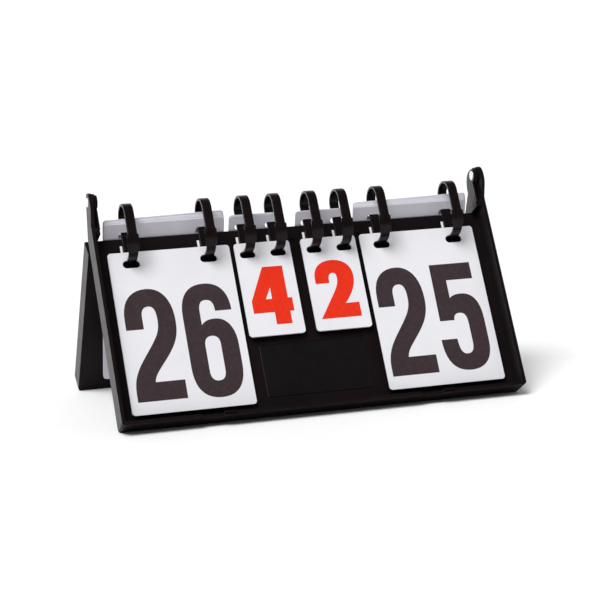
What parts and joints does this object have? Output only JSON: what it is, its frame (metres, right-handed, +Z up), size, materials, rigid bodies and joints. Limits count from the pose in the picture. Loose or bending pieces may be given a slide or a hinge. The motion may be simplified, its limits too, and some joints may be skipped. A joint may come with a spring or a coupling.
{
  "type": "tabletop flip scoreboard",
  "caption": "Tabletop flip scoreboard: a hinged two-tray case standing as an A-frame, with oval binder rings and turning number sheets.",
  "frame": {"origin": "centre of the bounding box at table level, under the hinge line", "axes": "+X along the hinge line to the right of the number side, +Y away from the number side, +Z up"},
  "size_m": [0.3874, 0.2194, 0.2039],
  "materials": {
    "case": "fine satin, moulded",
    "ring": "satin, bevelled edges",
    "label": "satin",
    "rivet": "satin",
    "key": "smooth",
    "sheet": "smooth printed synthetic paper"
  },
  "bodies": {
    "front": {"front_tray": "case", "hinge_rivets": "rivet", "label_plate": "label", "ring_keys": "key", "ring_1": "ring", "ring_2": "ring", "ring_3": "ring", "ring_4": "ring", "ring_5": "ring", "ring_6": "ring", "ring_7": "ring", "ring_8": "ring", "stack_big_left": "sheet", "stack_small_left": "sheet", "stack_small_right": "sheet", "stack_big_right": "sheet", "turned_big_left": "sheet", "turned_small_left_stack": "sheet", "turned_small_right_stack": "sheet", "turned_big_right": "sheet"},
    "rear": {"rear_tray": "case"},
    "big_left": {"sheet_big_left": "sheet"},
    "small_left": {"sheet_small_left": "sheet"},
    "small_right": {"sheet_small_right": "sheet"},
    "big_right": {"sheet_big_right": "sheet"}
  },
  "joints": [
    {"name": "case_hinge", "type": "hinge", "parent": "front", "child": "rear", "pos_m": [0, 0, 0.1956], "axis": [1, 0, 0], "range_deg": [0, 298.5]},
    {"name": "turn_big_left", "type": "hinge", "parent": "front", "child": "big_left", "pos_m": [0, -0.00708, 0.15915], "axis": [-1, 0, 0], "range_deg": [0, 115]},
    {"name": "turn_small_left", "type": "hinge", "parent": "front", "child": "small_left", "pos_m": [0, -0.00708, 0.15915], "axis": [-1, 0, 0], "range_deg": [0, 115]},
    {"name": "turn_small_right", "type": "hinge", "parent": "front", "child": "small_right", "pos_m": [0, -0.00708, 0.15915], "axis": [-1, 0, 0], "range_deg": [0, 115]},
    {"name": "turn_big_right", "type": "hinge", "parent": "front", "child": "big_right", "pos_m": [0, -0.00708, 0.15915], "axis": [-1, 0, 0], "range_deg": [0, 115]}
  ]
}
